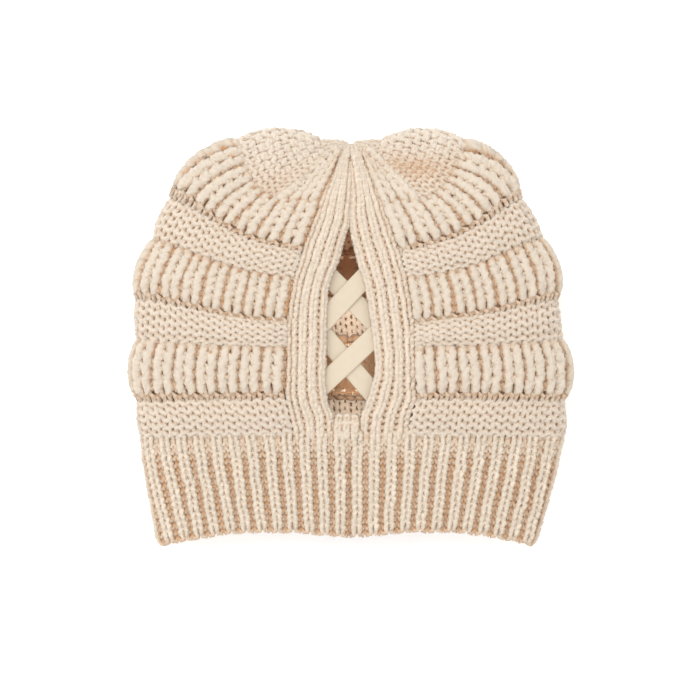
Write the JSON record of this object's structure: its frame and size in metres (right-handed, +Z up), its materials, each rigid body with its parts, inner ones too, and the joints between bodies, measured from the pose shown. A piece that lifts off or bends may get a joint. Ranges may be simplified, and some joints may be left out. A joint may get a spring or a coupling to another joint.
{
  "type": "ponytail cap",
  "caption": "Chunky knitted ponytail beanie lying flat, with padded welts, wide ribs, a ribbed cuff and a laced teardrop opening in its back.",
  "frame": {"origin": "on the surface that the cap lies on, under the middle of its box", "axes": "+Y from the cuff to the crown, +X to the right seen from above with the crown away, +Z up out of the back panel with the ponytail opening"},
  "size_m": [0.2311, 0.2195, 0.0473],
  "materials": {
    "cream_knit": "matte",
    "pale_knit": "matte",
    "strap_cloth": "soft"
  },
  "bodies": {
    "root": {"ribbed_cuff": "cream_knit", "lower_welt": "pale_knit", "lower_rib_band": "cream_knit", "middle_welt": "pale_knit", "middle_rib_band": "cream_knit", "upper_welt": "pale_knit", "upper_rib_band": "cream_knit", "crown_welt": "pale_knit", "crown_ribs_right": "cream_knit", "crown_ribs_left": "cream_knit", "crown_gather": "pale_knit", "opening_border": "cream_knit", "lace_strap_upper_over": "strap_cloth", "lace_strap_upper_under": "strap_cloth", "lace_strap_lower_over": "strap_cloth", "lace_strap_lower_under": "strap_cloth"}
  },
  "joints": []
}
